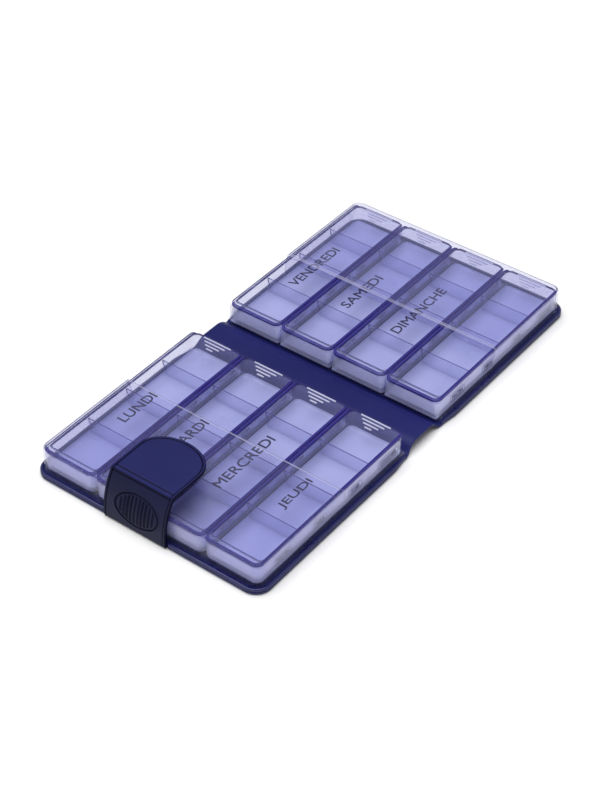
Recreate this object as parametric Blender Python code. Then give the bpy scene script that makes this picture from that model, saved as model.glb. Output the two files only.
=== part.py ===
"""Travel pill organizer: a soft plastic wallet that lies open, with four day trays on each leaf.

+X runs along the spine, +Y from the front leaf (the one with the strap) to the rear leaf, and
+Z is up. The wallet stands on z = 0 with the middle of its footprint at the origin. Each leaf
carries a clear holder, a sled with a roof over the outer half of its four trays, and each tray
has a flat lid that slides out at the tray's +Y end. The spine band is arched: two sloping
panels and a crown, which straighten into the back wall of the closed case.
"""

import math

import bmesh
import bpy

MM = 0.001

# Day trays
TRAYS_PER_LEAF = 4
TRAY_PITCH = 27.0 * MM
TRAY_GAP = 0.4 * MM
TRAY_LENGTH = 93.8 * MM
TRAY_BASE_Z = 2.5 * MM
TRAY_RIM_Z = 12.6 * MM
TRAY_CORNER = 3.5 * MM
TRAY_WALL = 1.0 * MM
COMPARTMENTS = 4
DIVIDER = 0.8 * MM
FIRST_ROOM = 24.8 * MM  # the compartment that runs in under the ledge
LAST_ROOM = 20.6 * MM

# Lids and the grooves that they slide in
LEDGE = 3.5 * MM
LID_Z = 11.1 * MM
LID_THICKNESS = 0.9 * MM
LID_WIDTH = 24.8 * MM
GROOVE_Z = (10.95 * MM, 12.15 * MM)
GROOVE_WIDTH = 25.2 * MM
LIP_WIDTH = 24.0 * MM
LID_CORNER = 2.8 * MM
RIB_HEIGHT = 0.35 * MM
RIB_WIDTH = 0.8 * MM
RIB_PITCH = 1.8 * MM
FIRST_RIB = 1.1 * MM
RIB_LENGTHS = (14.5 * MM, 10.8 * MM, 7.4 * MM, 3.5 * MM)  # from the tray's end inwards

# Leaves: a plate with a round bead along its three outer edges
LEAF_LENGTH = 97.3 * MM
LEAF_HALF_WIDTH = 56.7 * MM
LEAF_THICKNESS = 1.5 * MM
LEAF_CORNER = 7.0 * MM
BEAD_HALF_WIDTH = 0.9 * MM
BEAD_HALF_HEIGHT = 1.3 * MM
BEAD_FADE = 12.0 * MM
BEAD_LEAST = 0.4  # share of its size that the bead still has at the spine
FADE_INSET = 1.0 * MM

# Clear holders
HOLDER_HALF_WIDTH = 54.65 * MM
HOLDER_WALL = 0.7 * MM
HOLDER_Z = (1.7 * MM, 13.55 * MM)
HOLDER_BASE = 0.6 * MM
HOLDER_END = 95.0 * MM
ROOF_MOUTH = 42.8 * MM
SWEEP = 3.2 * MM
RAIL_Z = 4.0 * MM
ROOF_EDGE = 1.4 * MM

# Arched spine between the two hinge lines
HINGE_Y = 10.9 * MM
HINGE_Z = LEAF_THICKNESS
PANEL_LENGTH = 5.5 * MM
CROWN_LENGTH = 13.4 * MM
SPINE_THICKNESS = 1.2 * MM
SPINE_HALF_WIDTH = 54.8 * MM
PANEL_SLOPE = math.acos((2 * HINGE_Y - CROWN_LENGTH) / (2 * PANEL_LENGTH))
PANEL_RISE = PANEL_LENGTH * math.sin(PANEL_SLOPE)

# Strap and tongue of the clasp, on the front leaf's outer edge
STRAP_X = -3.4 * MM
STRAP_WIDTH = 31.0 * MM
STRAP_THICKNESS = 0.9 * MM
STRAP_OUTER = 98.1 * MM
STRAP_Z = (0.2 * MM, 21.5 * MM)
STRAP_LEAN = 6.4 * MM
STRAP_BOW = 2.4  # 1 would be a straight strap; above it the strap bows outwards
STRAP_HINGE = (97.65 * MM, 0.7 * MM)
TONGUE_START = 90.7 * MM
TONGUE_STRAIGHT = 14.9 * MM
TONGUE_TIP = 11.5 * MM
TONGUE_Z = 21.7 * MM

SEAM = 0.15 * MM
NOTCH_CLEARANCE = 0.3 * MM
PAST = 5.0 * MM  # how far a cutter runs beyond the faces that it cuts
CUT_OVERLAP = 0.1 * MM  # how far two cutters that meet run into each other
CORNER_STEPS = 5
EDGE_STEPS = 2
# The strap stands proud of the front edge, so the spine's middle is this far along +Y.
SPINE_Y = (STRAP_OUTER - LEAF_LENGTH) / 2


def clear_scene():
    for obj in list(bpy.data.objects):
        bpy.data.objects.remove(obj, do_unlink=True)


def plastic(name, colour, roughness, alpha=1.0):
    """A moulded plastic, clear where alpha is under 1."""
    material = bpy.data.materials.new(name)
    material.use_nodes = True
    shader = material.node_tree.nodes["Principled BSDF"]
    shader.inputs["Base Color"].default_value = (*colour, 1.0)
    shader.inputs["Roughness"].default_value = roughness
    shader.inputs["Metallic"].default_value = 0.0
    shader.inputs["Alpha"].default_value = alpha
    material.diffuse_color = (*colour, alpha)
    return material


def mesh_object(name, bm):
    mesh = bpy.data.meshes.new(name)
    bm.to_mesh(mesh)
    bm.free()
    obj = bpy.data.objects.new(name, mesh)
    bpy.context.scene.collection.objects.link(obj)
    return obj


def box(name, low, high, corner=0.0, only_far=False, top_edge=0.0):
    """A box between two corners, with its upright edges rounded, or only the two at far Y."""
    bm = bmesh.new()
    bmesh.ops.create_cube(bm, size=1.0)
    for vert in bm.verts:
        for axis in range(3):
            vert.co[axis] = low[axis] + (vert.co[axis] + 0.5) * (high[axis] - low[axis])
    if corner:
        uprights = [
            edge
            for edge in bm.edges
            if abs(edge.verts[0].co.z - edge.verts[1].co.z) > 1e-6
            and not (only_far and edge.verts[0].co.y < (low[1] + high[1]) / 2)
        ]
        bmesh.ops.bevel(bm, geom=uprights, offset=corner, segments=CORNER_STEPS, profile=0.5, affect="EDGES")
    if top_edge:
        rim = [
            edge
            for edge in bm.edges
            if all(abs(vert.co.z - high[2]) < 1e-6 for vert in edge.verts)
            and not all(abs(vert.co.y - low[1]) < 1e-6 for vert in edge.verts)
        ]
        bmesh.ops.bevel(bm, geom=rim, offset=top_edge, segments=EDGE_STEPS, profile=0.5, affect="EDGES")
    return mesh_object(name, bm)


def curve_mesh(name, curve):
    """The curve's solid as a mesh object, with its caps welded on."""
    source = bpy.data.objects.new(name + "_curve", curve)
    bpy.context.scene.collection.objects.link(source)
    bpy.context.view_layer.update()
    graph = bpy.context.evaluated_depsgraph_get()
    mesh = bpy.data.meshes.new_from_object(source.evaluated_get(graph))
    bpy.data.objects.remove(source, do_unlink=True)
    bm = bmesh.new()
    bm.from_mesh(mesh)
    bmesh.ops.remove_doubles(bm, verts=bm.verts, dist=0.001 * MM)
    bmesh.ops.recalc_face_normals(bm, faces=bm.faces)
    bpy.data.meshes.remove(mesh)
    return mesh_object(name, bm)


def outline_solid(name, points, low, high, upright=False):
    """A flat outline given a thickness from low to high, along Z, or along X when upright."""
    curve = bpy.data.curves.new(name, "CURVE")
    curve.dimensions = "2D"
    curve.fill_mode = "BOTH"
    curve.extrude = (high - low) / 2
    spline = curve.splines.new("POLY")
    spline.points.add(len(points) - 1)
    for point, (across, along) in zip(spline.points, points):
        point.co = (across, along, 0.0, 1.0)
    spline.use_cyclic_u = True
    solid = curve_mesh(name, curve)
    middle = (low + high) / 2
    for vert in solid.data.vertices:
        across, along, through = vert.co
        vert.co = (through + middle, across, along) if upright else (across, along, through + middle)
    return solid


def bead_bar(name, points):
    """A bar of oval section along (x, y, share of its size) points, resting on the plane z = 0."""
    curve = bpy.data.curves.new(name, "CURVE")
    curve.dimensions = "3D"
    curve.bevel_depth = BEAD_HALF_WIDTH
    curve.bevel_resolution = 2
    curve.use_fill_caps = True
    spline = curve.splines.new("POLY")
    spline.points.add(len(points) - 1)
    for point, (x, y, share) in zip(spline.points, points):
        point.co = (x, y, 0.0, 1.0)
        point.radius = share
    bar = curve_mesh(name, curve)
    for vert in bar.data.vertices:
        vert.co.z = BEAD_HALF_HEIGHT * (1.0 + vert.co.z / BEAD_HALF_WIDTH)
    return bar


def combine(obj, tool, operation):
    """Cuts the tool from the object, or joins it on, and removes the tool."""
    modifier = obj.modifiers.new(tool.name, "BOOLEAN")
    modifier.operation = operation
    modifier.object = tool
    bpy.context.view_layer.update()
    graph = bpy.context.evaluated_depsgraph_get()
    mesh = bpy.data.meshes.new_from_object(obj.evaluated_get(graph))
    obj.modifiers.clear()
    obj.data = mesh
    bpy.data.objects.remove(tool, do_unlink=True)


def shape_of(obj):
    """The object's mesh on its own, shaded, for its copies to share."""
    mesh = obj.data
    mesh.shade_smooth()
    mesh.set_sharp_from_angle(angle=math.radians(35))
    bpy.data.objects.remove(obj, do_unlink=True)
    return mesh


def smooth_step(share):
    return share * share * (3 - 2 * share)


def leaf_edge():
    """One side of a leaf along the bead's middle, as (x, y, share of the bead), spine to front."""
    side = LEAF_HALF_WIDTH - BEAD_HALF_WIDTH
    far = LEAF_LENGTH - BEAD_HALF_WIDTH
    corner = LEAF_CORNER - BEAD_HALF_WIDTH
    points = []
    for step in range(5):
        share = step / 4
        inset = FADE_INSET * (1 - smooth_step(share))
        size = BEAD_LEAST + (1 - BEAD_LEAST) * smooth_step(share)
        points.append((side - inset, SEAM + BEAD_FADE * share, size))
    for step in range(7):
        angle = math.radians(15 * step)
        x = side - corner + corner * math.cos(angle)
        y = far - corner + corner * math.sin(angle)
        points.append((x, y, 1.0))
    return points


def leaf_shape(name, notched):
    """A leaf from its hinge line at y = 0 outwards along +Y, notched where the strap is hinged."""
    half = leaf_edge()
    edge = half + [(-x, y, share) for x, y, share in reversed(half)]
    leaf = outline_solid(name, [(x, y) for x, y, _ in edge], 0.0, LEAF_THICKNESS)
    combine(leaf, bead_bar(name + "_bead", edge), "UNION")
    if notched:
        reach = STRAP_WIDTH / 2 + NOTCH_CLEARANCE
        inner = STRAP_OUTER - STRAP_THICKNESS - NOTCH_CLEARANCE
        low = (-STRAP_X - reach, inner, -PAST)
        high = (-STRAP_X + reach, inner + PAST, PAST)
        combine(leaf, box("strap_notch", low, high), "DIFFERENCE")
    # The bead's first ring starts a little before the hinge line, so the end is cut square.
    low = (-LEAF_HALF_WIDTH - PAST, -PAST, -PAST)
    high = (LEAF_HALF_WIDTH + PAST, SEAM, PAST)
    combine(leaf, box("hinge_end", low, high), "DIFFERENCE")
    return shape_of(leaf)


def holder_shape():
    """The clear sled: a base with low rails, and outside the mouth walls, an end and a roof."""
    low_z, high_z = HOLDER_Z
    start = 2 * SEAM
    half = HOLDER_HALF_WIDTH
    holder = box(
        "holder",
        (-half, start, low_z),
        (half, HOLDER_END, high_z),
        corner=TRAY_CORNER + HOLDER_WALL,
        only_far=True,
        top_edge=ROOF_EDGE,
    )
    inner = half - HOLDER_WALL
    cavity = box(
        "holder_cavity",
        (-inner, start - PAST, low_z + HOLDER_BASE),
        (inner, HOLDER_END - HOLDER_WALL, high_z - HOLDER_WALL),
        corner=TRAY_CORNER,
        only_far=True,
    )
    combine(holder, cavity, "DIFFERENCE")
    # The walls sweep from the roof's mouth down to the rails in an S.
    steps = 8
    profile = [(start - PAST, high_z + PAST), (start - PAST, RAIL_Z)]
    for step in range(steps + 1):
        share = step / steps
        y = ROOF_MOUTH - SWEEP * (1 - share)
        profile.append((y, RAIL_Z + (high_z - RAIL_Z) * smooth_step(share)))
    profile.append((ROOF_MOUTH, high_z + PAST))
    sweep = outline_solid("mouth_sweep", profile, -half - PAST, half + PAST, upright=True)
    combine(holder, sweep, "DIFFERENCE")
    return shape_of(holder)


def tray_shape():
    """A tray from its ledge end at y = 0, with grooves for its lid that are open at the +Y end."""
    half = (TRAY_PITCH - TRAY_GAP) / 2
    tray = box("tray", (-half, 0.0, TRAY_BASE_Z), (half, TRAY_LENGTH, TRAY_RIM_Z), corner=TRAY_CORNER)
    inner = half - TRAY_WALL
    floor = TRAY_BASE_Z + TRAY_WALL
    groove_low, groove_high = GROOVE_Z
    between = TRAY_LENGTH - 2 * TRAY_WALL - (COMPARTMENTS - 1) * DIVIDER - FIRST_ROOM - LAST_ROOM
    rooms = (FIRST_ROOM, *[between / (COMPARTMENTS - 2)] * (COMPARTMENTS - 2), LAST_ROOM)
    start = TRAY_WALL
    for room in rooms:
        top = groove_low + CUT_OVERLAP
        corner = TRAY_CORNER - TRAY_WALL
        pocket = box("pocket", (-inner, start, floor), (inner, start + room, top), corner=corner)
        combine(tray, pocket, "DIFFERENCE")
        start += room + DIVIDER
    end = TRAY_LENGTH + PAST
    wide = GROOVE_WIDTH / 2
    groove = box("groove", (-wide, LEDGE, groove_low), (wide, end, groove_high))
    combine(tray, groove, "DIFFERENCE")
    slit = LIP_WIDTH / 2
    mouth = box("lid_mouth", (-slit, LEDGE, groove_low + DIVIDER), (slit, end, TRAY_RIM_Z + PAST))
    combine(tray, mouth, "DIFFERENCE")
    return shape_of(tray)


def lid_shape():
    """A lid from the ledge at y = 0 to the tray's end, with grip ribs that form a triangle."""
    half = LID_WIDTH / 2
    end = TRAY_LENGTH - LEDGE - 2 * SEAM
    top = LID_Z + LID_THICKNESS
    lid = box("lid", (-half, SEAM, LID_Z), (half, end, top), corner=LID_CORNER, only_far=True)
    for index, length in enumerate(RIB_LENGTHS):
        y = end - FIRST_RIB - RIB_PITCH * index
        low = (-length / 2, y - RIB_WIDTH / 2, top - RIB_HEIGHT)
        rib = box("grip_rib", low, (length / 2, y + RIB_WIDTH / 2, top + RIB_HEIGHT))
        combine(lid, rib, "UNION")
    return shape_of(lid)


def panel_shape(name, length, mitred_start, mitred_end):
    """A band of the spine with its top at z = 0, mitred underneath where it meets the crown."""
    mitre = SPINE_THICKNESS * math.tan(PANEL_SLOPE / 2)
    start = SEAM + mitre * mitred_start
    end = length - SEAM - mitre * mitred_end
    outline = [(SEAM, 0.0), (start, -SPINE_THICKNESS), (end, -SPINE_THICKNESS), (length - SEAM, 0.0)]
    return shape_of(outline_solid(name, outline, -SPINE_HALF_WIDTH, SPINE_HALF_WIDTH, upright=True))


def strap_outer(z):
    """How far the strap's outer face stands from the spine's front hinge line, at a height."""
    low, high = STRAP_Z
    return STRAP_OUTER - STRAP_LEAN * ((z - low) / (high - low)) ** STRAP_BOW


def strap_shape():
    """The strap, leaning inwards towards its top, measured from its hinge at the leaf's edge."""
    low, high = STRAP_Z
    steps = 10
    outer = []
    inner = []
    for step in range(steps + 1):
        z = low + (high - low) * step / steps
        share = (z - low) / (high - low)
        slope = STRAP_BOW * STRAP_LEAN / (high - low) * share ** (STRAP_BOW - 1)
        length = math.hypot(1.0, slope)
        y = -strap_outer(z)
        outer.append((y, z))
        inner.append((y + STRAP_THICKNESS / length, z - STRAP_THICKNESS * slope / length))
    hinge_y, hinge_z = STRAP_HINGE
    profile = [(y + hinge_y, z - hinge_z) for y, z in outer + inner[::-1]]
    half = STRAP_WIDTH / 2
    return shape_of(outline_solid("strap", profile, -half, half, upright=True))


def tongue_shape():
    """The tongue's round-ended plate, from the fold at y = 0 towards the spine."""
    half = STRAP_WIDTH / 2
    steps = 14
    outline = [(-half, 0.0), (half, 0.0)]
    for step in range(steps + 1):
        angle = math.pi * step / steps
        y = TONGUE_STRAIGHT + TONGUE_TIP * math.sin(angle)
        outline.append((half * math.cos(angle), y))
    return shape_of(outline_solid("tongue", outline, -STRAP_THICKNESS, 0.0))


def place(name, mesh, material, location, turn=0.0, tilt=0.0):
    """An object of its own with this mesh, turned about Z or tilted about X at its origin."""
    obj = bpy.data.objects.new(name, mesh)
    mesh.materials.clear()
    mesh.materials.append(material)
    obj.location = location
    obj.rotation_euler = (tilt, 0.0, turn)
    obj.parent = WALLET
    COLLECTION.objects.link(obj)
    return obj


def build_wallet(material):
    half_turn = math.pi
    place("front_leaf", leaf_shape("front_leaf", True), material, (0, -HINGE_Y, 0), turn=half_turn)
    place("rear_leaf", leaf_shape("rear_leaf", False), material, (0, HINGE_Y, 0))
    crown_z = HINGE_Z + PANEL_RISE
    crown_y = CROWN_LENGTH / 2
    front = panel_shape("spine_front_panel", PANEL_LENGTH, False, True)
    place("spine_front_panel", front, material, (0, -HINGE_Y, HINGE_Z), tilt=PANEL_SLOPE)
    crown = panel_shape("spine_crown", CROWN_LENGTH, True, True)
    place("spine_crown", crown, material, (0, -crown_y, crown_z))
    rear = panel_shape("spine_rear_panel", PANEL_LENGTH, True, False)
    place("spine_rear_panel", rear, material, (0, crown_y, crown_z), tilt=-PANEL_SLOPE)


def build_clasp(material):
    hinge_y, hinge_z = STRAP_HINGE
    place("clasp_strap", strap_shape(), material, (STRAP_X, -HINGE_Y - hinge_y, hinge_z))
    place("clasp_tongue", tongue_shape(), material, (STRAP_X, -HINGE_Y - TONGUE_START, TONGUE_Z))


def build_holders(material):
    shape = holder_shape()
    place("front_holder", shape, material, (0, -HINGE_Y, 0), turn=math.pi)
    place("rear_holder", shape, material, (0, HINGE_Y, 0))


def build_days(tray_material, lid_material):
    """Every tray has its ledge end towards the strap, so its lid opens along +Y."""
    tray = tray_shape()
    lid = lid_shape()
    near = 2 * SEAM
    for leaf, start in enumerate((-HINGE_Y - near - TRAY_LENGTH, HINGE_Y + near)):
        for column in range(TRAYS_PER_LEAF):
            number = leaf * TRAYS_PER_LEAF + column + 1
            x = (column - (TRAYS_PER_LEAF - 1) / 2) * TRAY_PITCH
            place(f"day_tray_{number}", tray, tray_material, (x, start, 0))
            place(f"day_lid_{number}", lid, lid_material, (x, start + LEDGE, 0))


clear_scene()
COLLECTION = bpy.data.collections.new("travel_pill_organizer")
bpy.context.scene.collection.children.link(COLLECTION)
WALLET = bpy.data.objects.new("wallet_middle", None)
WALLET.location = (0.0, SPINE_Y, 0.0)
COLLECTION.objects.link(WALLET)

NAVY = (0.022, 0.026, 0.12)
SMOKE = (0.62, 0.62, 0.72)
LAVENDER = (0.36, 0.36, 0.66)

build_wallet(plastic("navy_wallet", NAVY, 0.45))
build_clasp(plastic("navy_clasp", NAVY, 0.5))
build_holders(plastic("clear_holder", SMOKE, 0.12, alpha=0.3))
build_days(
    plastic("lavender_tray", LAVENDER, 0.08, alpha=0.4),
    plastic("lavender_lid", LAVENDER, 0.06, alpha=0.35),
)
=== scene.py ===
"""Travel pill organizer: the looks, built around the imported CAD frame.

Shapes are worked out in millimetres in the row frame (+X along the spine, +Y from the front leaf
to the rear leaf, +Z up) and become metres when a mesh is made.
"""

import math

import bmesh
import bpy
import numpy as np
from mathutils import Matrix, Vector


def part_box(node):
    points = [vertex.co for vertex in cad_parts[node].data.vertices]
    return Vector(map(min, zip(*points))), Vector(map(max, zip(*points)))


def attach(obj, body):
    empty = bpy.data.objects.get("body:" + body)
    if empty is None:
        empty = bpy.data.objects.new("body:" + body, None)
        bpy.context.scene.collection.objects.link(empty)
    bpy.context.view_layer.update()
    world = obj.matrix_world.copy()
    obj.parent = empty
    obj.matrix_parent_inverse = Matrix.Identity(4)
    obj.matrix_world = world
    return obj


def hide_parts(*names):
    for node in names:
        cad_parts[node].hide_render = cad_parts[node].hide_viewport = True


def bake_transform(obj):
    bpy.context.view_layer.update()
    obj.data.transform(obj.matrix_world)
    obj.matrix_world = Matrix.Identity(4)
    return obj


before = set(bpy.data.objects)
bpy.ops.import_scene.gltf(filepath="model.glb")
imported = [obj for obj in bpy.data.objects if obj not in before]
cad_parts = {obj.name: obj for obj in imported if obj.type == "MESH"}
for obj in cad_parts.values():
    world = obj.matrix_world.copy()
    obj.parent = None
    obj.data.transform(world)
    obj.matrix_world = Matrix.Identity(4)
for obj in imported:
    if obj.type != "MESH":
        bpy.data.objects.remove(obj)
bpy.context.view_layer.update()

MM = 0.001


def node_box(name):
    """A CAD node's lowest and highest corner, in millimetres."""
    low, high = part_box(name)
    return [v / MM for v in low], [v / MM for v in high]


# ---------------------------------------------------------------- sizes read from the frame
TRAY_LOW, TRAY_HIGH = node_box("day_tray_1")
LID_LOW, LID_HIGH = node_box("day_lid_5")
TRAY_HALF = (TRAY_HIGH[0] - TRAY_LOW[0]) / 2
TRAY_LENGTH = TRAY_HIGH[1] - TRAY_LOW[1]
TRAY_BASE, TRAY_RIM = TRAY_LOW[2], TRAY_HIGH[2]
_, LEAF_HIGH = node_box("rear_leaf")
LEAF_HALF = LEAF_HIGH[0]
CROWN_LOW, CROWN_HIGH = node_box("spine_crown")
STRAP_LOW, STRAP_HIGH = node_box("clasp_strap")
_, TONGUE_HIGH = node_box("clasp_tongue")

SPINE_Y = (CROWN_LOW[1] + CROWN_HIGH[1]) / 2
HINGE_Y = 10.9  # a leaf's hinge line, from the spine's middle
LEAF_LENGTH = LEAF_HIGH[1] - SPINE_Y - HINGE_Y
LEAF_TOP = 1.5
PANEL_SLOPE = 40.214  # degrees
PANEL_LENGTH = 5.5  # along the slope
CROWN_LENGTH = 13.4
STRAP_X = (STRAP_LOW[0] + STRAP_HIGH[0]) / 2
STRAP_HALF = (STRAP_HIGH[0] - STRAP_LOW[0]) / 2
WALL = 1.0
LEDGE = 3.5  # the closed strip across a tray's near end, which its lid butts against
LID_THICK = 0.9
DIVIDERS = (26.2, 49.0, 71.8)  # the middles of a tray's dividers, from its ledge end


# ---------------------------------------------------------------- mesh tools
LARGE_FACE = 12 * MM**2  # faces above this area stay flat


def smooth_step(share):
    share = min(1.0, max(0.0, share))
    return share * share * (3 - 2 * share)


def shade(mesh, sharp=38):
    """Smooth roundings between creases, with the large faces left flat, so that reflections stay straight."""
    mesh.set_sharp_from_angle(angle=math.radians(sharp))
    for polygon in mesh.polygons:
        polygon.use_smooth = polygon.area < LARGE_FACE


class Shape:
    """Closed solids gathered into one mesh, in millimetres."""

    def __init__(self):
        self.points, self.faces, self.slots = [], [], []

    def loft(self, rings, slots, caps=(0, 0), ring_closed=False):
        """A skin through rings of as many points each, capped at both ends or joined end to end."""
        base, count = len(self.points), len(rings[0])
        for ring in rings:
            self.points += ring
        bands = len(rings) if ring_closed else len(rings) - 1
        for band in range(bands):
            here, there = base + band * count, base + (band + 1) % len(rings) * count
            for i in range(count):
                j = (i + 1) % count
                self.faces.append((here + i, here + j, there + j, there + i))
                self.slots.append(slots[band])
        if not ring_closed:
            last = base + (len(rings) - 1) * count
            self.faces.append(tuple(range(base + count - 1, base - 1, -1)))
            self.faces.append(tuple(range(last, last + count)))
            self.slots += list(caps)

    def add(self, points, faces, slot):
        base = len(self.points)
        self.points += [tuple(p) for p in points]
        self.faces += [tuple(base + i for i in face) for face in faces]
        self.slots += [slot] * len(faces)

    def object(self, name, materials, move=(0, 0, 0), sharp=38):
        mesh = bpy.data.meshes.new(name)
        scaled = [tuple((p[k] + move[k]) * MM for k in range(3)) for p in self.points]
        mesh.from_pydata(scaled, [], self.faces)
        for material in materials:
            mesh.materials.append(material)
        mesh.polygons.foreach_set("material_index", self.slots)
        bm = bmesh.new()
        bm.from_mesh(mesh)
        bmesh.ops.recalc_face_normals(bm, faces=bm.faces)
        bm.to_mesh(mesh)
        bm.free()
        shade(mesh, sharp)
        obj = bpy.data.objects.new(name, mesh)
        bpy.context.scene.collection.objects.link(obj)
        return obj


def rounded(x0, x1, y0, y1, radius, steps=8, near=None):
    """A rounded rectangle, from its near right corner round to its near left one.

    Its near corners can have a radius of their own. The number of points is the same for any radius.
    """
    points = []
    near = radius if near is None else near
    corners = (
        (x1 - near, y0 + near, -90, near),
        (x1 - radius, y1 - radius, 0, radius),
        (x0 + radius, y1 - radius, 90, radius),
        (x0 + near, y0 + near, 180, near),
    )
    for x, y, start, radius in corners:
        for step in range(steps + 1):
            angle = math.radians(start + 90 * step / steps)
            points.append((x + radius * math.cos(angle), y + radius * math.sin(angle)))
    return points


COPY_RISE = 0.08


def lettering(word, cap_height, length, depth, bold=0.0):
    """A word's solid letters with their base line on y = 0 and their middle on x = 0, in millimetres.

    Bold letters are four copies, each moved and raised a little, so that no two faces lie in one plane.
    """
    curve = bpy.data.curves.new(word, "FONT")
    curve.body = word
    curve.extrude = 0.01
    curve.resolution_u = 4
    source = bpy.data.objects.new(word, curve)
    bpy.context.scene.collection.objects.link(source)
    bpy.context.view_layer.update()
    mesh = bpy.data.meshes.new_from_object(source.evaluated_get(bpy.context.evaluated_depsgraph_get()))
    bpy.data.objects.remove(source, do_unlink=True)
    points = np.array([v.co for v in mesh.vertices])
    faces = [tuple(p.vertices) for p in mesh.polygons]
    bpy.data.meshes.remove(mesh)
    low, high = points.min(0), points.max(0)
    points[:, 0] = (points[:, 0] - (low[0] + high[0]) / 2) * length / (high[0] - low[0])
    points[:, 1] = (points[:, 1] - low[1]) * cap_height / (high[1] - low[1])
    points[:, 2] = (points[:, 2] - low[2]) * depth / (high[2] - low[2])
    if not bold:
        return points, faces
    copies, count = [], len(points)
    for index, (x, y) in enumerate(((-bold, -bold), (bold, -bold), (bold, bold), (-bold, bold))):
        copy = points + (x, y, 0)
        copy[:, 2] *= 1 + COPY_RISE * index
        copies.append(copy)
    return np.concatenate(copies), [tuple(i + count * k for i in face) for k in range(4) for face in faces]


# ---------------------------------------------------------------- materials
def node_material(name):
    material = bpy.data.materials.new(name)
    material.use_nodes = True
    tree = material.node_tree
    tree.nodes.clear()
    output = tree.nodes.new("ShaderNodeOutputMaterial")
    coordinates = tree.nodes.new("ShaderNodeTexCoord")
    return material, tree, output, coordinates.outputs["Object"]


def noise(tree, where, scale, detail=2.0, rough=0.5):
    node = tree.nodes.new("ShaderNodeTexNoise")
    node.inputs["Scale"].default_value = scale
    node.inputs["Detail"].default_value = detail
    node.inputs["Roughness"].default_value = rough
    tree.links.new(where, node.inputs["Vector"])
    return node.outputs["Fac"]


def spread(tree, value, low, high, start=0.3, end=0.7):
    """The value's start to end range mapped to low to high."""
    node = tree.nodes.new("ShaderNodeMapRange")
    node.inputs["From Min"].default_value = start
    node.inputs["From Max"].default_value = end
    node.inputs["To Min"].default_value = low
    node.inputs["To Max"].default_value = high
    tree.links.new(value, node.inputs["Value"])
    return node.outputs["Result"]


def maths(tree, operation, first, second):
    node = tree.nodes.new("ShaderNodeMath")
    node.operation = operation
    for socket, value in zip(node.inputs, (first, second)):
        if isinstance(value, (int, float)):
            socket.default_value = value
        else:
            tree.links.new(value, socket)
    return node.outputs[0]


def blend_colours(tree, share, first, second):
    node = tree.nodes.new("ShaderNodeMix")
    node.data_type = "RGBA"
    tree.links.new(share, node.inputs["Factor"])
    node.inputs["A"].default_value = (*first, 1)
    node.inputs["B"].default_value = (*second, 1)
    return node.outputs["Result"]


def bump(tree, height, distance, strength=1.0):
    node = tree.nodes.new("ShaderNodeBump")
    node.inputs["Distance"].default_value = distance
    node.inputs["Strength"].default_value = strength
    tree.links.new(height, node.inputs["Height"])
    return node.outputs["Normal"]


def satin(name, dark, light, rough, grain=0.00003, gloss=0.14):
    """Moulded polypropylene: a fine spark-eroded grain, soft cloudiness and a few rubbed patches."""
    material, tree, output, where = node_material(name)
    shader = tree.nodes.new("ShaderNodeBsdfPrincipled")
    cloud = noise(tree, where, 28, 3)
    tree.links.new(blend_colours(tree, spread(tree, cloud, 0, 1), dark, light), shader.inputs["Base Color"])
    rub = noise(tree, where, 90, 4, 0.6)
    tree.links.new(spread(tree, rub, rough - 0.06, rough + 0.08), shader.inputs["Roughness"])
    fine = noise(tree, where, 2600, 2)
    coarse = noise(tree, where, 240, 2)
    height = maths(tree, "ADD", fine, maths(tree, "MULTIPLY", coarse, 0.8))
    tree.links.new(bump(tree, height, grain), shader.inputs["Normal"])
    shader.inputs["Specular IOR Level"].default_value = gloss
    tree.links.new(shader.outputs[0], output.inputs["Surface"])
    return material


def clear(name, tint, deep, haze, grazing, gloss=0.9, rough=0.06, passed=(0.95, 0.95, 0.99)):
    """Clear tinted polystyrene, which passes light straight on.

    haze is the share of a scattering body seen face on, and grazing is what edge-on faces add to it.
    The body's colour goes from tint, face on, to deep, edge on. gloss scales the reflection.
    """
    material, tree, output, where = node_material(name)
    facing = tree.nodes.new("ShaderNodeLayerWeight")
    facing.inputs["Blend"].default_value = 0.5
    lean = facing.outputs["Facing"]
    flow = noise(tree, where, 45, 3, 0.55)
    through = tree.nodes.new("ShaderNodeBsdfTransparent")
    through.inputs["Color"].default_value = (*passed, 1)
    body = tree.nodes.new("ShaderNodeBsdfDiffuse")
    tree.links.new(blend_colours(tree, maths(tree, "POWER", lean, 2.5), tint, deep), body.inputs["Color"])
    share = maths(
        tree,
        "ADD",
        spread(tree, flow, haze * 0.8, haze * 1.25),
        maths(tree, "MULTIPLY", maths(tree, "POWER", lean, 4.0), grazing),
    )
    inner = tree.nodes.new("ShaderNodeMixShader")
    tree.links.new(share, inner.inputs["Fac"])
    tree.links.new(through.outputs[0], inner.inputs[1])
    tree.links.new(body.outputs[0], inner.inputs[2])
    shine = tree.nodes.new("ShaderNodeBsdfGlossy")
    shine.inputs["Color"].default_value = (1, 1, 1, 1)
    shine.inputs["Roughness"].default_value = rough
    ripple = noise(tree, where, 140, 2)
    tree.links.new(bump(tree, ripple, 0.00002), shine.inputs["Normal"])
    glancing = maths(tree, "MULTIPLY", maths(tree, "POWER", lean, 5.0), 0.9 * gloss)
    mirror = maths(tree, "ADD", glancing, 0.018 * gloss)
    outer = tree.nodes.new("ShaderNodeMixShader")
    tree.links.new(mirror, outer.inputs["Fac"])
    tree.links.new(inner.outputs[0], outer.inputs[1])
    tree.links.new(shine.outputs[0], outer.inputs[2])
    tree.links.new(outer.outputs[0], output.inputs["Surface"])
    return material


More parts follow.
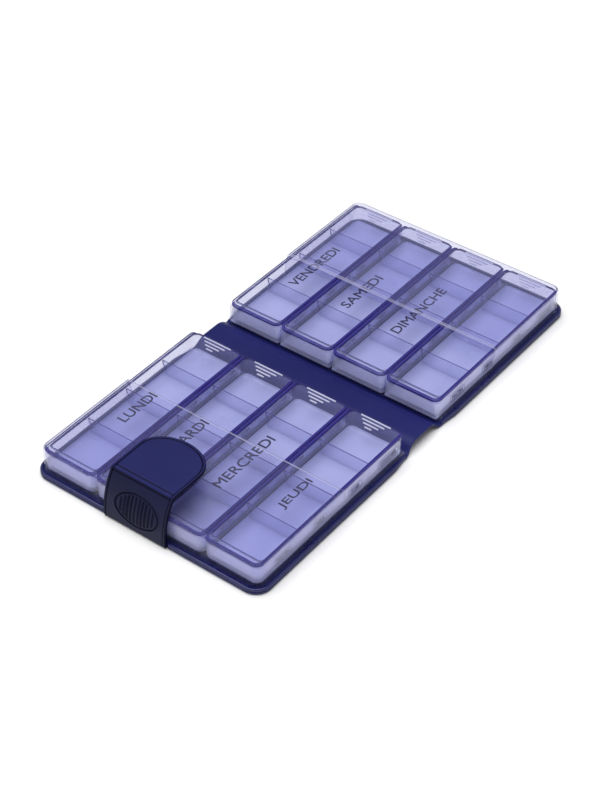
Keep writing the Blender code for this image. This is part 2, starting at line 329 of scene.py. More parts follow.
def solid_plastic(name, dark, light, rough, scale=60, grain=0.00001):
    """A plastic seen as a surface, such as ink, frosted ribs or a cloudy tray floor."""
    material, tree, output, where = node_material(name)
    shader = tree.nodes.new("ShaderNodeBsdfPrincipled")
    cloud = noise(tree, where, scale, 3)
    tree.links.new(blend_colours(tree, spread(tree, cloud, 0, 1), dark, light), shader.inputs["Base Color"])
    tree.links.new(spread(tree, cloud, rough * 0.85, rough * 1.2), shader.inputs["Roughness"])
    tree.links.new(bump(tree, noise(tree, where, 700, 2), grain), shader.inputs["Normal"])
    tree.links.new(shader.outputs[0], output.inputs["Surface"])
    return material


COARSE = 0.00004  # the clasp's coarser grain
NAVY = satin("navy_wallet", (0.008, 0.010, 0.090), (0.012, 0.015, 0.115), 0.42)
NAVY_LEAF = satin("navy_leaf", (0.008, 0.010, 0.085), (0.012, 0.015, 0.110), 0.3, gloss=0.5)
NAVY_CLASP = satin("navy_clasp", (0.008, 0.010, 0.082), (0.012, 0.015, 0.100), 0.5, COARSE)
# Painted shade: the strap's face below the fold gets a darker navy, as it turns away from the light above;
# the strap is one colour throughout.
NAVY_FACE_PAINTED_SHADE = satin("navy_strap_painted_shade", (0.005, 0.006, 0.034), (0.007, 0.008, 0.044), 0.5, COARSE, 0.2)
# Painted shade: the strap's grooves and rounded edges get a near-black navy, where the relief turns from the
# light.
NAVY_CREASE_PAINTED_SHADE = satin("navy_crease_painted_shade", (0.002, 0.002, 0.016), (0.003, 0.003, 0.022), 0.55, COARSE, 0.1)
TRAY_CLEAR = clear("tray_clear", (0.50, 0.52, 0.78), (0.10, 0.09, 0.40), 0.09, 0.3)
TRAY_WALL = clear("tray_wall", (0.70, 0.72, 0.95), (0.56, 0.57, 0.86), 0.42, 0.2)
# Painted shade: dark indigo on the rims, divider tops and seams stands for the dark lines that refraction and
# the gaps between trays give clear edges.
TRAY_EDGE_PAINTED_SHADE = clear("tray_edge_painted_shade", (0.035, 0.028, 0.21), (0.025, 0.018, 0.18), 0.85, 0.1, passed=(0.8, 0.8, 0.95))
TRAY_FLOOR = solid_plastic("tray_floor", (0.40, 0.425, 0.68), (0.46, 0.485, 0.74), 0.3)
LID_CLEAR = clear("lid_clear", (0.48, 0.49, 0.80), (0.10, 0.09, 0.4), 0.03, 0.2)
# Painted shade: the same dark lines round the lids' edges.
LID_EDGE_PAINTED_SHADE = clear("lid_edge_painted_shade", (0.04, 0.03, 0.21), (0.03, 0.024, 0.18), 0.8, 0.1, passed=(0.8, 0.8, 0.95))
RIB_FROST = solid_plastic("rib_frost", (0.46, 0.47, 0.66), (0.58, 0.59, 0.76), 0.35)
HOLDER_CLEAR = clear("holder_clear", (0.66, 0.66, 0.82), (0.45, 0.45, 0.68), 0.015, 0.2)
# Painted highlight: pale strips along the holder roof's sides.
HOLDER_RIM_PAINTED_HIGHLIGHT = clear("holder_rim_painted_highlight", (0.78, 0.79, 0.93), (0.6, 0.6, 0.85), 0.22, 0.2, gloss=0.5)
# Painted shade: dark lines on the holder roof's eased edges, where clear plastic seen edge on turns dark.
HOLDER_LINE_PAINTED_SHADE = clear("holder_line_painted_shade", (0.06, 0.055, 0.22), (0.05, 0.045, 0.2), 0.6, 0.1, gloss=0.3)
# Painted highlight: a pale line at the holder roof's mouth.
HOLDER_LIP_PAINTED_HIGHLIGHT = clear("holder_lip_painted_highlight", (0.72, 0.72, 0.92), (0.6, 0.6, 0.85), 0.28, 0.1, gloss=0.15)
INK = solid_plastic("print_ink", (0.010, 0.010, 0.050), (0.016, 0.015, 0.068), 0.5)
LABEL = solid_plastic("label_relief", (0.06, 0.06, 0.19), (0.09, 0.09, 0.24), 0.3)


# ---------------------------------------------------------------- trays
# EDGE_SHADE_SLOT carries the painted shade of the clear edges.
CLEAR_SLOT, EDGE_SHADE_SLOT, FLOOR_SLOT, WALL_SLOT = 0, 1, 2, 3
GROOVE_LOW, GROOVE_HIGH = 10.95, 12.15
TRAY_CORNER = 3.5
FLOOR = TRAY_BASE + WALL
CORNER_STEPS = 8
SIDE_BEND, END_BEND = 1.5, 2.8  # the inner floor's roundings
TIGHT_CORNER = 0.9
SEAM_SECTION = ((0.0, -0.14), (0.26, -0.1), (0.26, 0.1), (0.0, 0.14))


def tray_shape(tight, leftmost):
    """A tray from its ledge end at y = 0, open at the far end for its lid, with tight or round near corners.

    The leftmost tray has no neighbour on its left, so its rim there is clear but for a line of painted shade
    along its edge.
    """
    shape = Shape()
    # Each ring: inset at the sides, at the ledge end and at the lid's end, its height, and the
    # material of the band from it to the next ring.
    rings = [
        (1.3, 1.3, 1.3, TRAY_BASE, FLOOR_SLOT),
        (0.75, 0.75, 0.75, TRAY_BASE + 0.1, FLOOR_SLOT),
        (0.3, 0.3, 0.3, TRAY_BASE + 0.4, CLEAR_SLOT),
        (0.08, 0.08, 0.08, TRAY_BASE + 0.85, CLEAR_SLOT),
        (0.02, 0.02, 0.02, TRAY_BASE + 1.5, CLEAR_SLOT),
        (0.0, 0.0, 0.0, 10.8, CLEAR_SLOT),
        (0.0, 0.0, 0.05, 11.5, EDGE_SHADE_SLOT),
        (0.0, 0.0, 0.1, 12.25, EDGE_SHADE_SLOT),
        (0.12, 0.12, 0.15, 12.5, EDGE_SHADE_SLOT),
        (0.4, 0.4, 0.2, TRAY_RIM, EDGE_SHADE_SLOT),
        (0.95, 1.0, 0.3, TRAY_RIM, EDGE_SHADE_SLOT),
        (1.2, 1.3, 0.35, 12.47, EDGE_SHADE_SLOT),
        (1.3, 1.5, 0.4, 12.35, CLEAR_SLOT),
        (1.3, 3.2, 0.42, 12.35, EDGE_SHADE_SLOT),
        (1.3, 3.4, 0.45, 12.3, EDGE_SHADE_SLOT),
        (1.3, 3.5, 0.5, GROOVE_HIGH, EDGE_SHADE_SLOT),
        (0.7, 3.5, 0.55, GROOVE_HIGH, CLEAR_SLOT),
        (0.7, 3.5, 0.6, GROOVE_LOW, CLEAR_SLOT),
        (1.0, 1.0, 1.0, GROOVE_LOW, CLEAR_SLOT),
        (1.0, 1.0, 1.0, 6.6, CLEAR_SLOT),
    ]
    # Inside, the walls round over into the floor, with a wider bend at the lid's end.
    for z in (5.2, 4.5, 4.0, 3.7, 3.55, FLOOR):
        below = [max(bend - (z - FLOOR), 0) for bend in (SIDE_BEND, END_BEND)]
        side = WALL + SIDE_BEND - math.sqrt(SIDE_BEND**2 - below[0] ** 2)
        far = WALL + END_BEND - math.sqrt(END_BEND**2 - below[1] ** 2)
        rings.append((side, side, far, z, CLEAR_SLOT if z > 5 else FLOOR_SLOT))
    lofted = []
    for side, near, far, z, _ in rings:
        on_ledge = near > 2.5
        radius = max(TRAY_CORNER - (side + (side if on_ledge else near)) / 2, 1.2)
        near_radius = radius
        if tight and z < 12:
            near_radius = TIGHT_CORNER + max(radius - TIGHT_CORNER, 0) * smooth_step((z - 10.2) / 1.4)
        x = TRAY_HALF - side
        outline = rounded(-x, x, near, TRAY_LENGTH - far, radius, CORNER_STEPS, near_radius)
        # The rim and the grooves drop away at the lid's end, where the lid slides in.
        ring = []
        for index, (x, y) in enumerate(outline):
            corner, step = divmod(index, CORNER_STEPS + 1)
            turn = 90 * step / CORNER_STEPS if corner == 1 else 90 - 90 * step / CORNER_STEPS
            kept = 1 - smooth_step((turn - 28) / 24) if corner in (1, 2) else 1.0
            ring.append((x, y, GROOVE_LOW + (z - GROOVE_LOW) * kept if z > GROOVE_LOW else z))
        lofted.append(ring)
    shape.loft(lofted, [band[4] for band in rings], caps=(FLOOR_SLOT, FLOOR_SLOT))
    # The right wall and the ledge end's wall are cloudier than the rest.
    for index, face in enumerate(shape.faces):
        corners = np.array([shape.points[i] for i in face])
        middle, tall = corners.mean(0), np.ptp(corners[:, 2]) > 0.9
        from_left, slot = middle[0] + TRAY_HALF, shape.slots[index]
        if slot == CLEAR_SLOT and tall and middle[1] < TRAY_LENGTH - 5 and from_left > 1.5:
            shape.slots[index] = WALL_SLOT
        if leftmost and slot == EDGE_SHADE_SLOT and corners[:, 2].min() > 12.2 and 0.3 < from_left < 1.25:
            shape.slots[index] = CLEAR_SLOT
    half = TRAY_HALF - WALL + 0.1
    for middle in DIVIDERS:
        # Half thickness, height, and the material above it.
        sections = (
            (0.4, 3.3, CLEAR_SLOT),
            (0.34, 10.4, CLEAR_SLOT),
            (0.24, 10.62, EDGE_SHADE_SLOT),
            (0.08, 10.7, EDGE_SHADE_SLOT),
        )
        slab = [
            [(half, middle - t, z), (half, middle + t, z), (-half, middle + t, z), (-half, middle - t, z)]
            for t, z, _ in sections
        ]
        shape.loft(slab, [s[2] for s in sections], caps=(CLEAR_SLOT, EDGE_SHADE_SLOT))
        # A moulded seam runs down the left wall from the divider's end in an S.
        seam = []
        for step in range(13):
            share = step / 12
            y, z = middle + 1.3 * smooth_step(share * 1.6 - 0.3), 10.6 - 6.4 * share
            seam.append([(-half + dx, y + dy, z) for dx, dy in SEAM_SECTION])
        shape.loft(seam, [EDGE_SHADE_SLOT] * 12, caps=(EDGE_SHADE_SLOT, EDGE_SHADE_SLOT))
    return shape


TIMES = (("MATIN", 7.5), ("MIDI", 5.2), ("SOIR", 5.6), ("COUCHER", 10.6))  # each with its length
TIME_HEIGHT = 2.1


def label_shape():
    """The names of the times of day on a tray's right side, each in a raised rounded frame."""
    shape = Shape()
    middle_z, out = 7.4, TRAY_HALF - 0.02
    ends = (LEDGE, *DIVIDERS, TRAY_LENGTH - WALL)
    for index, (word, length) in enumerate(TIMES):
        centre = (ends[index] + ends[index + 1]) / 2
        points, faces = lettering(word, TIME_HEIGHT, length, 0.1, bold=0.1)
        shape.add([(out + z, centre + x, middle_z - TIME_HEIGHT / 2 + y) for x, y, z in points], faces, 0)
        half = length / 2 + 1.7
        sections = []
        for grow, lift in ((0.0, 0.0), (0.0, 0.1), (-0.22, 0.1), (-0.22, 0.0)):
            outline = rounded(-half - grow, half + grow, -2.1 - grow, 2.1 + grow, 2.0 + grow, 6)
            sections.append([(out + lift, centre + x, middle_z + y) for x, y in outline])
        shape.loft(sections, [0] * 4, ring_closed=True)
    return shape


# ---------------------------------------------------------------- lids
RIB_LENGTHS = (14.5, 10.8, 7.4, 3.5)
RIB_PITCH, FIRST_RIB = 1.8, 1.1
RIB_HALF = 0.3


def lid_shape():
    """A lid in the tray's place, with its grip ribs in a triangle by the far end."""
    shape = Shape()
    half = (LID_HIGH[0] - LID_LOW[0]) / 2
    start = LEDGE + 0.15
    end = start + LID_HIGH[1] - LID_LOW[1]
    low, high = LID_LOW[2], LID_LOW[2] + LID_THICK
    rings = []
    for inset, z in ((0.14, low), (0.0, low + 0.14), (0.0, high - 0.16), (0.05, high - 0.05), (0.16, high)):
        # The near corners are nearly square, so they close up against the ledge.
        sides = (-half + inset, half - inset, start + inset, end - inset)
        outline = rounded(*sides, 2.8 - inset, CORNER_STEPS, near=0.4)
        rings.append([(x, y, z) for x, y in outline])
    shape.loft(rings, [EDGE_SHADE_SLOT] * 4, caps=(CLEAR_SLOT, CLEAR_SLOT))
    for index, length in enumerate(RIB_LENGTHS):
        y = end - FIRST_RIB - RIB_PITCH * index
        bars = []
        for grow, z in ((0.0, high - 0.1), (0.0, high + 0.16), (-0.08, high + 0.29), (-0.2, high + 0.33)):
            x, deep = length / 2 + grow, RIB_HALF + grow
            bars.append([(*point, z) for point in rounded(-x, x, y - deep, y + deep, 0.28 + grow, 4)])
        shape.loft(bars, [2] * 4, caps=(2, 2))
    return shape


# ---------------------------------------------------------------- leaves
def leaf_shape(front):
    """A leaf from v = LEAF_START outwards from the hinge line: a plate with a double bead round its edge."""
    edge = []  # x, v, inward normal, share of the bead
    for step in range(9):
        share = step / 8
        inset = 1.0 * (1 - smooth_step(share))
        size = 0.35 + 0.65 * smooth_step(share)
        edge.append((LEAF_HALF - inset, LEAF_START + 10 * share, (-1, 0), size))
    for step in range(13):
        angle = math.radians(90 * step / 12)
        normal = (-math.cos(angle), -math.sin(angle))
        edge.append((LEAF_HALF - 7 - 7 * normal[0], LEAF_LENGTH - 7 - 7 * normal[1], normal, 1.0))
    far = []
    if front:
        inner = 1.35
        for x, v, size in (
            (STRAP_X + STRAP_HALF + 0.75, 0.0, 1.0),
            (STRAP_X + STRAP_HALF + 0.5, 0.12, 1.0),
            (STRAP_X + STRAP_HALF + 0.35, 0.45, 0.8),
            (STRAP_X + STRAP_HALF + 0.3, inner, 0.0),
            (STRAP_X - STRAP_HALF - 0.3, inner, 0.0),
            (STRAP_X - STRAP_HALF - 0.35, 0.45, 0.8),
            (STRAP_X - STRAP_HALF - 0.5, 0.12, 1.0),
            (STRAP_X - STRAP_HALF - 0.75, 0.0, 1.0),
        ):
            far.append((x, LEAF_LENGTH - v, (0, -1), size))
    back = [(-x, v, (-normal[0], normal[1]), size) for x, v, normal, size in reversed(edge)]
    flat = [(-LEAF_HALF + 4, LEAF_START, (0, 0), 0.0), (LEAF_HALF - 4, LEAF_START, (0, 0), 0.0)]
    outline = edge + far + back + flat
    # Inset and height round the double bead, and for the plain plate.
    bead = [
        (2.4, 0.0, 2.4, 0.0),
        (0.75, 0.0, 0.5, 0.0),
        (0.3, 0.07, 0.2, 0.07),
        (0.05, 0.3, 0.05, 0.3),
        (0.0, 0.62, 0.0, 0.5),
        (0.08, 0.95, 0.0, 0.65),
        (0.3, 1.14, 0.0, 0.75),
        (0.42, 1.25, 0.0, 0.8),
        (0.3, 1.36, 0.0, 0.85),
        (0.08, 1.55, 0.0, 0.95),
        (0.0, 1.88, 0.0, 1.05),
        (0.06, 2.22, 0.03, 1.2),
        (0.3, 2.5, 0.1, 1.36),
        (0.65, 2.6, 0.25, 1.46),
        (1.0, 2.5, 0.5, 1.5),
        (1.28, 2.2, 0.9, 1.5),
        (1.45, 1.85, 1.3, 1.5),
        (1.8, 1.56, 1.9, 1.5),
        (2.4, 1.5, 2.4, 1.5),
    ]
    rings = []
    side = -1 if front else 1
    for inset, z, plain_inset, plain_z in bead:
        ring = []
        for x, v, normal, size in outline:
            by = plain_inset + (inset - plain_inset) * size
            height = plain_z + (z - plain_z) * size
            x_at, v_at = x + normal[0] * by, v + normal[1] * by
            ring.append((x_at, side * (HINGE_Y + v_at) + SPINE_Y, height))
        rings.append(ring)
    shape = Shape()
    shape.loft(rings, [0] * (len(rings) - 1))
    return shape


# ---------------------------------------------------------------- spine
LEAF_FLEX = 1.8  # how far each side of a leaf's hinge line the band bends
CROWN_FLEX = 3.6
LEAF_START = LEAF_FLEX
SPINE_STEPS = 96
SPINE_HALF, SPINE_THICK = 54.8, 1.2  # at the crown; wider and thicker by the leaves


def spine_stations():
    """The band's top line, from the front leaf to the rear one, as (y, z, slope, run).

    Also where along it the band is cut into its four pieces.
    """
    half = CROWN_LENGTH / 2
    hinges = (0.0, PANEL_LENGTH, PANEL_LENGTH + CROWN_LENGTH, 2 * PANEL_LENGTH + CROWN_LENGTH)
    turns = (PANEL_SLOPE, -PANEL_SLOPE, -PANEL_SLOPE, PANEL_SLOPE)
    flex = (LEAF_FLEX, CROWN_FLEX, CROWN_FLEX, LEAF_FLEX)
    length = hinges[3] + 2 * LEAF_FLEX
    y, z, stations = -HINGE_Y - LEAF_FLEX, LEAF_TOP, []
    for step in range(SPINE_STEPS + 1):
        run = -LEAF_FLEX + length * step / SPINE_STEPS
        slope = math.radians(
            sum(t * smooth_step((run - h + f) / (2 * f)) for h, t, f in zip(hinges, turns, flex))
        )
        if step:
            advance = length / SPINE_STEPS
            y += advance * math.cos((slope + last) / 2)
            z += advance * math.sin((slope + last) / 2)
        stations.append((y, z, slope, run))
        last = slope
    shift = -(stations[0][0] + stations[-1][0]) / 2
    cuts = (PANEL_LENGTH / 2, PANEL_LENGTH + half, PANEL_LENGTH * 1.5 + CROWN_LENGTH)
    return [(y + shift, z, slope, run) for y, z, slope, run in stations], cuts


def spine_ring(y, z, slope, run):
    """The band's section across X: rounded edges, and a little narrower than the leaves."""
    middle = PANEL_LENGTH + CROWN_LENGTH / 2
    away = abs(run - middle) / (middle + LEAF_FLEX)
    half = SPINE_HALF + 0.9 * smooth_step((away - 0.6) / 0.4)
    thick = SPINE_THICK + 0.3 * smooth_step((away - 0.72) / 0.28)
    section = [(half, 0.5), (half - 0.06, 0.22), (half - 0.3, 0.04), (half - 0.7, 0.0), (half - 8, 0.0)]
    section += [(-x, d) for x, d in reversed(section)]
    rounding = ((0.7, 0.0), (0.3, 0.04), (0.06, 0.22), (0.0, 0.5))
    under = [(half - inset, thick - rise) for inset, rise in rounding]
    section += [(-x, d) for x, d in reversed(under)] + under
    return [(x, y + d * math.sin(slope) + SPINE_Y, z - d * math.cos(slope)) for x, d in section]


# ---------------------------------------------------------------- clasp
STRAP_BASE, STRAP_TOP = 0.2, 21.5
LEAN, BOW = 6.4, 2.4  # how far the strap leans in over its height, and the power that bows it
FOLD_RADIUS, ROOT_RADIUS = 0.8, 1.2
TONGUE_TOP = TONGUE_HIGH[2]
TIP_Y = TONGUE_HIGH[1]
TIP_LENGTH = 11.5
STRAP_OUT = STRAP_LOW[1]
STRAP_THICK = 0.9
ROOT_END = 4.0  # the height where the root's piece ends
FACE_STEPS = 64
COLUMNS = 121
OVAL_Z, OVAL_X = 10.4, 0.9  # the oval's middle
OVAL_HALF = (11.3, 7.3)
OVAL_SCALE = 8.6  # about how many millimetres the oval's relative radius of 1 stands for
RIB_SPACING = 1.75
BORDER_AT = 1.35  # the border groove's distance from the edge


def strap_path():
    """The outer face's line, as points (y, z), and the lengths along it.

    Also where on it the middles of the fold and of the oval lie.
    """
    points = [(STRAP_OUT + 1.9, 0.0), (STRAP_OUT + 1.5, 0.0)]
    radius = ROOT_RADIUS
    for step in range(9):
        angle = math.radians(90 * step / 8)
        points.append((STRAP_OUT + radius - radius * math.sin(angle), radius - radius * math.cos(angle)))
    steep = math.atan2(STRAP_TOP - STRAP_BASE, LEAN * BOW)
    fold_z = TONGUE_TOP - FOLD_RADIUS * (1 - math.cos(steep))

    def face_y(z):
        return STRAP_OUT + LEAN * (max(z - STRAP_BASE, 0) / (STRAP_TOP - STRAP_BASE)) ** BOW

    for step in range(1, FACE_STEPS + 1):
        z = radius + (fold_z - radius) * step / FACE_STEPS
        points.append((face_y(z), z))
    start = points[-1]
    before = points[-2]
    climb = math.atan2(start[1] - before[1], start[0] - before[0])
    centre = (start[0] + FOLD_RADIUS * math.sin(climb), start[1] - FOLD_RADIUS * math.cos(climb))
    for step in range(1, 9):
        angle = climb * (1 - step / 8)
        points.append((centre[0] - FOLD_RADIUS * math.sin(angle), centre[1] + FOLD_RADIUS * math.cos(angle)))
    fold_middle = len(points) - 5
    points.append((TIP_Y, points[-1][1]))
    line = np.array(points)
    length = np.concatenate([[0], np.cumsum(np.hypot(*np.diff(line, axis=0).T))])
    face = slice(11, 11 + FACE_STEPS)
    oval_s = float(np.interp(OVAL_Z, line[face, 1], length[face]))
    return line, length, float(length[fold_middle]), oval_s


def strap_grid(start_s, end_s):
    """The strap between two distances along its line, with its border, fold lines, oval and ribs in relief.

    Gives the outer and the inner face's grids of points, and the outer grid's material slots, with painted
    shade on the face below the fold and in the grooves and along the edges.
    """
    line, length, fold_s, oval_s = strap_path()
    total = length[-1]
    across = np.linspace(-1, 1, COLUMNS)
    rows = list(np.arange(start_s, min(end_s, total - TIP_LENGTH), 0.3))
    if end_s > total - TIP_LENGTH:
        turn = np.linspace(0, math.pi / 2 - 0.035, 56)
        rows += list(total - TIP_LENGTH + TIP_LENGTH * np.sin(turn))
    else:
        rows.append(end_s)
    rows = np.array(rows)
    tip = np.clip((rows - (total - TIP_LENGTH)) / TIP_LENGTH, 0, 1)
    width = STRAP_HALF * np.sqrt(1 - tip**2)
    x = across[None, :] * width[:, None]
    s = np.repeat(rows[:, None], COLUMNS, 1)
    t = np.clip(s - (total - TIP_LENGTH), 0, None)
    # Distance to the nearest edge, straight at the sides and elliptical at the tip.
    reach = np.sqrt((x / STRAP_HALF) ** 2 + (t / TIP_LENGTH) ** 2)
    slope = np.sqrt((x / STRAP_HALF**2) ** 2 + (t / TIP_LENGTH**2) ** 2) / np.maximum(reach, 1e-6)
    edge = np.where(t > 0, (1 - reach) / np.maximum(slope, 1e-6), STRAP_HALF - np.abs(x))
    edge = np.clip(edge, 0, None)

    def groove(distance, middle, half, depth):
        near = np.clip(1 - np.abs(distance - middle) / half, 0, 1)
        return -depth * near * near * (3 - 2 * near)

    # The edge's rounding, the groove along it and the low bead outside the groove.
    lift = -0.35 * (1 - np.sqrt(np.clip(1 - (1 - np.clip(edge / 0.35, 0, 1)) ** 2, 0, 1)))
    lift += groove(edge, BORDER_AT, 0.36, 0.3)
    lift += 0.10 * np.clip(1 - np.abs(edge - 0.65) / 0.45, 0, 1)
    for at, depth in ((fold_s - 1.25, 0.24), (fold_s + 1.35, 0.2)):
        inner = np.clip((edge - 1.0) / 0.4, 0, 1)
        lift += groove(s, at, 0.42, depth) * inner
    u, v = x - OVAL_X, s - oval_s
    oval = np.sqrt((u / OVAL_HALF[0]) ** 2 + (v / OVAL_HALF[1]) ** 2)
    ring = (oval - 1) * OVAL_SCALE
    lift += 0.20 * np.clip(1 - np.abs(ring) / 0.42, 0, 1) + groove(ring, -0.62, 0.45, 0.34)
    inside = np.clip((0.86 - oval) * 12, 0, 1)
    wave = np.abs((u / RIB_SPACING + 0.5) % 1 - 0.5) * RIB_SPACING
    lift += inside * (0.36 * np.clip(1 - (wave / 0.5) ** 2, 0, 1) - 0.2)
    y = np.interp(s, length, line[:, 0])
    z = np.interp(s, length, line[:, 1])
    step = 0.15
    dy = np.interp(s + step, length, line[:, 0]) - np.interp(s - step, length, line[:, 0])
    dz = np.interp(s + step, length, line[:, 1]) - np.interp(s - step, length, line[:, 1])
    size = np.hypot(dy, dz)
    ny, nz = -dz / size, dy / size
    top = np.stack([x, y + ny * lift, z + nz * lift], -1)
    low = np.stack([x, y - ny * STRAP_THICK, z - nz * STRAP_THICK], -1)
    # Slot 1 paints shade on the face below the fold.
    slot = np.where(s < fold_s - 0.6, 1, 0)
    # Slot 2 paints shade into the grooves and along the rounded edges.
    slot[(lift < -0.13) | (edge < 0.3)] = 2
    return top, low, slot


def strap_shape(start_s, end_s):
    """The strap between two distances along its line, as a closed solid."""
    top, low, slot = strap_grid(start_s, end_s)
    rows, columns = top.shape[:2]
    shape = Shape()
    points = [tuple(p) for p in top.reshape(-1, 3)]
    base = len(points)
    shrink = 0.12
    for row in range(rows):
        for end, sign in ((0, 1), (-1, -1)):
            x, y, z = low[row, end]
            points.append((x + sign * shrink, y, z))
    faces = []
    for row in range(rows - 1):
        for column in range(columns - 1):
            a = row * columns + column
            faces.append((a, a + 1, a + columns + 1, a + columns))
        b = base + 2 * row
        faces.append((b + 1, b, b + 2, b + 3))
        left, right = row * columns, row * columns + columns - 1
        faces.append((left, left + columns, b + 2, b))
        faces.append((right + columns, right, b + 1, b + 3))
    first = list(range(columns)) + [base + 1, base]
    final = list(range((rows - 1) * columns, rows * columns)) + [base + 2 * rows - 1, base + 2 * rows - 2]
    faces += [tuple(reversed(first)), tuple(final)]
    shape.add(points, faces, 0)
    flat_slot = slot.reshape(-1)
    shape.slots = [max(flat_slot[i] for i in face if i < base) if min(face) < base else 0 for face in faces]
    return shape


# ---------------------------------------------------------------- holders
# Slots 1 and 2 are painted highlights, and slot 3 is painted shade lines.
LIP_HIGHLIGHT_PART, RIM_HIGHLIGHT_PART, LINE_SHADE_PART = 1, 2, 3  # slot 0 is the clear plastic
EDGE_EASE = 0.22
LIP_WIDTH, RIM_WIDTH = 0.75, 1.5
HOLDER_CORNER_X, HOLDER_CUT_BACK = 53.8, 1.4


def holder_piece(name, node):
    """The CAD holder with eased edges, a painted highlight at the roof's mouth and along its side rims, and
    painted shade as dark lines on the roof's edges.
    """
    bm = bmesh.new()
    bm.from_mesh(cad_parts[node].data)
    bmesh.ops.remove_doubles(bm, verts=bm.verts, dist=1e-6)
    bmesh.ops.dissolve_limit(bm, angle_limit=math.radians(1.5), verts=bm.verts, edges=bm.edges)
    creases = [e for e in bm.edges if len(e.link_faces) == 2 and e.calc_face_angle() > math.radians(40)]
    bmesh.ops.bevel(
        bm, geom=creases, offset=EDGE_EASE * MM, segments=2, profile=0.6, affect="EDGES", clamp_overlap=True
    )
    # The base's corners by the spine are cut back, so that they keep off the narrower band.
    for vert in bm.verts:
        if abs(vert.co.x) > HOLDER_CORNER_X * MM and abs(vert.co.y - SPINE_Y * MM) < (HINGE_Y + 0.8) * MM:
            vert.co.y += math.copysign(HOLDER_CUT_BACK * MM, vert.co.y)
    # A strip of the roof by its mouth, and one by each side, are cut off from it, to carry the painted
    # highlights.
    roof = max(vert.co.z for vert in bm.verts) - 0.1 * MM
    side = max(vert.co.x for vert in bm.verts)
    mouth = min((abs(vert.co.y), vert.co.y) for vert in bm.verts if vert.co.z > roof)[1]
    strip, rim = mouth + math.copysign(LIP_WIDTH * MM, mouth), side - RIM_WIDTH * MM
    for place, normal in (((0, strip, 0), (0, 1, 0)), ((rim, 0, 0), (1, 0, 0)), ((-rim, 0, 0), (1, 0, 0))):
        flat = [face for face in bm.faces if face.normal.z > 0.99 and face.calc_center_median().z > roof]
        around = {edge for face in flat for edge in face.edges}
        corners = {vert for face in flat for vert in face.verts}
        bmesh.ops.bisect_plane(bm, geom=flat + list(around) + list(corners), plane_co=place, plane_no=normal)
    mesh = bpy.data.meshes.new(name)
    for face in bm.faces:
        middle = face.calc_center_median()
        to_spine = -face.normal.y if middle.y > 0 else face.normal.y
        # The faces towards the spine and the strip by the mouth get the painted highlight, and so do the
        # roof's side strips.
        if 0.2 < to_spine and middle.z > 4.2 * MM and abs(middle.y) < 56 * MM:
            face.material_index = LIP_HIGHLIGHT_PART
        elif middle.z > roof and face.normal.z > 0.99:
            if abs(middle.y) < abs(strip):
                face.material_index = LIP_HIGHLIGHT_PART
            elif abs(middle.x) > rim:
                face.material_index = RIM_HIGHLIGHT_PART
        # The roof's eased edges get the painted shade lines.
        elif middle.z > roof - 0.3 * MM and 0.1 < face.normal.z:
            face.material_index = LINE_SHADE_PART
    bm.to_mesh(mesh)
    bm.free()
    for material in (HOLDER_CLEAR, HOLDER_LIP_PAINTED_HIGHLIGHT, HOLDER_RIM_PAINTED_HIGHLIGHT, HOLDER_LINE_PAINTED_SHADE):
        mesh.materials.append(material)
    shade(mesh)
    obj = bpy.data.objects.new(name, mesh)
    bpy.context.scene.collection.objects.link(obj)
    return obj


def build_wallet():
    """The two leaves, and the band between them in four pieces, one for each hinge line."""
    for front, name in ((True, "front"), (False, "rear")):
        leaf = leaf_shape(front).object(f"leaf_{name}_shell", [NAVY_LEAF])
        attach(leaf, f"{name}_case")
        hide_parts(f"{name}_leaf")
    stations, cuts = spine_stations()
    ends = (-LEAF_FLEX - 1, *cuts, 1e9)
    stand = (
        ("spine_front_panel",),
        ("spine_front_panel", "spine_crown"),
        ("spine_crown", "spine_rear_panel"),
        ("spine_rear_panel",),
    )
    for index in range(4):
        first = min(range(len(stations)), key=lambda i: abs(stations[i][3] - ends[index]))
        last = min(range(len(stations)), key=lambda i: abs(stations[i][3] - ends[index + 1]))
        rings = [spine_ring(*station) for station in stations[first : last + 1]]
        shape = Shape()
        shape.loft(rings, [0] * (len(rings) - 1))
        band = shape.object(f"spine_band_{index + 1}", [NAVY])
        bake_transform(band)
        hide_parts(*stand[index])


# The clasp's plain navy, then its face and its grooves and edges with painted shade.
CLASP_PLASTICS = [NAVY_CLASP, NAVY_FACE_PAINTED_SHADE, NAVY_CREASE_PAINTED_SHADE]


def build_clasp():
    line, length, _, _ = strap_path()
    root_s = float(np.interp(ROOT_END, line[11:60, 1], length[11:60]))
    root = strap_shape(0.0, root_s).object("strap_root", CLASP_PLASTICS, move=(STRAP_X, 0, 0))
    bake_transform(root)
    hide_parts("clasp_strap")
    band = strap_shape(root_s, length[-1]).object("strap_band", CLASP_PLASTICS, move=(STRAP_X, 0, 0))
    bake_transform(band)
    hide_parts("clasp_strap", "clasp_tongue")


def build_holders():
    for name in ("front", "rear"):
        holder = holder_piece(f"holder_{name}_shell", f"{name}_holder")
        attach(holder, f"{name}_case")
        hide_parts(f"{name}_holder")


DAYS = (  # each word with its length and its middle, from the tray's ledge end
    ("LUNDI", 20.0, 41.8),
    ("MARDI", 20.6, 41.2),
    ("MERCREDI", 34.8, 42.4),
    ("JEUDI", 18.9, 40.1),
    ("VENDREDI", 32.4, 43.5),
    ("SAMEDI", 26.2, 41.5),
    ("DIMANCHE", 36.7, 45.5),
    None,
)
CAP_HEIGHT = 4.4
TRAY_PLASTICS = [TRAY_CLEAR, TRAY_EDGE_PAINTED_SHADE, TRAY_FLOOR, TRAY_WALL]
LID_PLASTICS = [LID_CLEAR, LID_EDGE_PAINTED_SHADE, RIB_FROST]


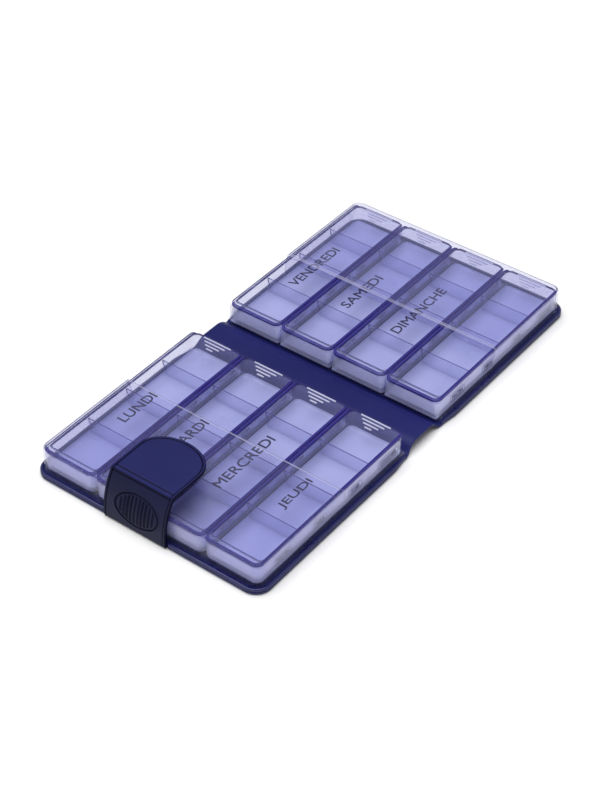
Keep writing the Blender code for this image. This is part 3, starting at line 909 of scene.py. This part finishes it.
def build_days():
    lid, labels = lid_shape(), label_shape()
    for number in range(1, 9):
        low, high = node_box(f"day_tray_{number}")
        centre, start = (low[0] + high[0]) / 2, low[1]
        case = "front_case" if number <= 4 else "rear_case"
        lid_body = f"lid_{number}" if number <= 4 else case
        tray = tray_shape(tight=number > 4, leftmost=number in (1, 5))
        shell = tray.object(f"tray_{number}_shell", TRAY_PLASTICS, move=(centre, start, 0))
        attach(shell, case)
        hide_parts(f"day_tray_{number}")
        relief = labels.object(f"tray_{number}_times", [LABEL], move=(centre, start, 0))
        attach(relief, case)
        plate = lid.object(f"lid_{number}_plate", LID_PLASTICS, move=(centre, start, 0))
        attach(plate, lid_body)
        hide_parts(f"day_lid_{number}")
        if DAYS[number - 1]:
            word, length, middle = DAYS[number - 1]
            points, faces = lettering(word, CAP_HEIGHT, length, 0.05, bold=0.07)
            name = Shape()
            top = LID_LOW[2] + LID_THICK
            # The letters' tops point towards -X, and the word reads towards +Y.
            name.add([(CAP_HEIGHT / 2 - y, middle + x, top + z) for x, y, z in points], faces, 0)
            text = name.object(f"lid_{number}_name", [INK], move=(centre, start, 0))
            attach(text, lid_body)


# ---------------------------------------------------------------- stage, light and camera
CAMERA_PLACE, CAMERA_AIM = (0.36134, -0.48391, 0.51309), (0.00013, -0.00885, 0.0)
LENS, SENSOR = 86.06, 36.0


def pale_floor():
    mesh = bpy.data.meshes.new("floor")
    reach, height = 3.0, -0.0002
    corners = [(x * reach, y * reach, height) for x, y in ((-1, -1), (1, -1), (1, 1), (-1, 1))]
    mesh.from_pydata(corners, [], [(0, 1, 2, 3)])
    material, tree, output, where = node_material("pale_floor")
    shader = tree.nodes.new("ShaderNodeBsdfPrincipled")
    colour = blend_colours(tree, noise(tree, where, 3), (0.90, 0.90, 0.90), (0.93, 0.93, 0.93))
    tree.links.new(colour, shader.inputs["Base Color"])
    shader.inputs["Roughness"].default_value = 0.9
    shader.inputs["Specular IOR Level"].default_value = 0.1
    tree.links.new(shader.outputs[0], output.inputs["Surface"])
    mesh.materials.append(material)
    floor = bpy.data.objects.new("floor", mesh)
    bpy.context.scene.collection.objects.link(floor)


def sun(name, towards, strength, angle):
    """A large soft lamp far away, so it lights the whole floor evenly."""
    light = bpy.data.lights.new(name, "SUN")
    light.energy = strength
    light.angle = math.radians(angle)
    obj = bpy.data.objects.new(name, light)
    obj.rotation_euler = Vector(towards).to_track_quat("Z", "Y").to_euler()
    bpy.context.scene.collection.objects.link(obj)


def build_stage():
    scene = bpy.context.scene
    pale_floor()
    world = bpy.data.worlds.new("studio")
    world.use_nodes = True
    background = world.node_tree.nodes["Background"]
    background.inputs["Color"].default_value = (1.0, 1.0, 1.0, 1.0)
    background.inputs["Strength"].default_value = 0.35
    scene.world = world
    sun("key", (-0.12, -0.04, 1.0), 2.7, 60)
    camera_data = bpy.data.cameras.new("camera")
    camera_data.sensor_width = SENSOR
    camera_data.lens = LENS
    camera = bpy.data.objects.new("camera", camera_data)
    place, aim = Vector(CAMERA_PLACE), Vector(CAMERA_AIM)
    camera.location = place
    camera.rotation_euler = (aim - place).to_track_quat("-Z", "Y").to_euler()
    scene.collection.objects.link(camera)
    scene.camera = camera
    scene.view_settings.view_transform = "Standard"
    # Several clear walls lie behind each other, so light has to pass through many faces.
    scene.cycles.transparent_max_bounces = 64
    scene.cycles.max_bounces = 16


build_wallet()
build_clasp()
build_holders()
build_days()
build_stage()
